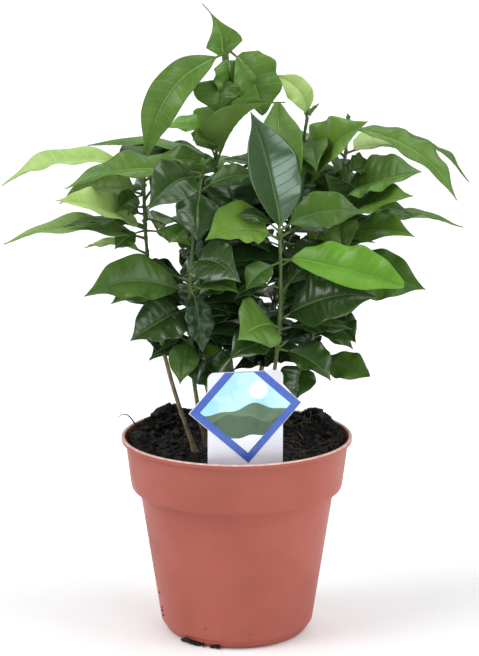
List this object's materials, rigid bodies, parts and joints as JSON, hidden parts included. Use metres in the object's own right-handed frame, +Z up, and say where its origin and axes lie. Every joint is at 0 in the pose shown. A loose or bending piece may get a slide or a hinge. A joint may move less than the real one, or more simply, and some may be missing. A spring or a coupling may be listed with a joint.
{
  "type": "potted coffee plant",
  "caption": "Young coffee plants grown together as one bushy crown of glossy pointed leaves on slim stems, in a tapered plastic nursery pot with soil and a plain plant label.",
  "frame": {"origin": "centre of the pot's underside, on the surface that it stands on", "axes": "+Z up along the pot's axis, -Y towards the front where the label stands, +X to the right seen from the front"},
  "size_m": [0.2459, 0.1719, 0.325],
  "materials": {
    "pot": "satin terracotta-coloured plastic",
    "soil": "dark, crumbly, matte",
    "label": "smooth printed card",
    "stem": "thin bark, brown to green",
    "foliage": "glossy leaf"
  },
  "bodies": {
    "root": {"pot": "pot", "soil": "soil", "plant_label": "label", "stem_left": "stem", "stem_left_front": "stem", "stem_tall": "stem", "stem_front": "stem", "stem_right": "stem", "stem_right_back": "stem", "stem_left_back": "stem", "foliage_left": "foliage", "foliage_left_front": "foliage", "foliage_tall": "foliage", "foliage_front": "foliage", "foliage_right": "foliage", "foliage_right_back": "foliage", "foliage_left_back": "foliage"}
  },
  "joints": []
}
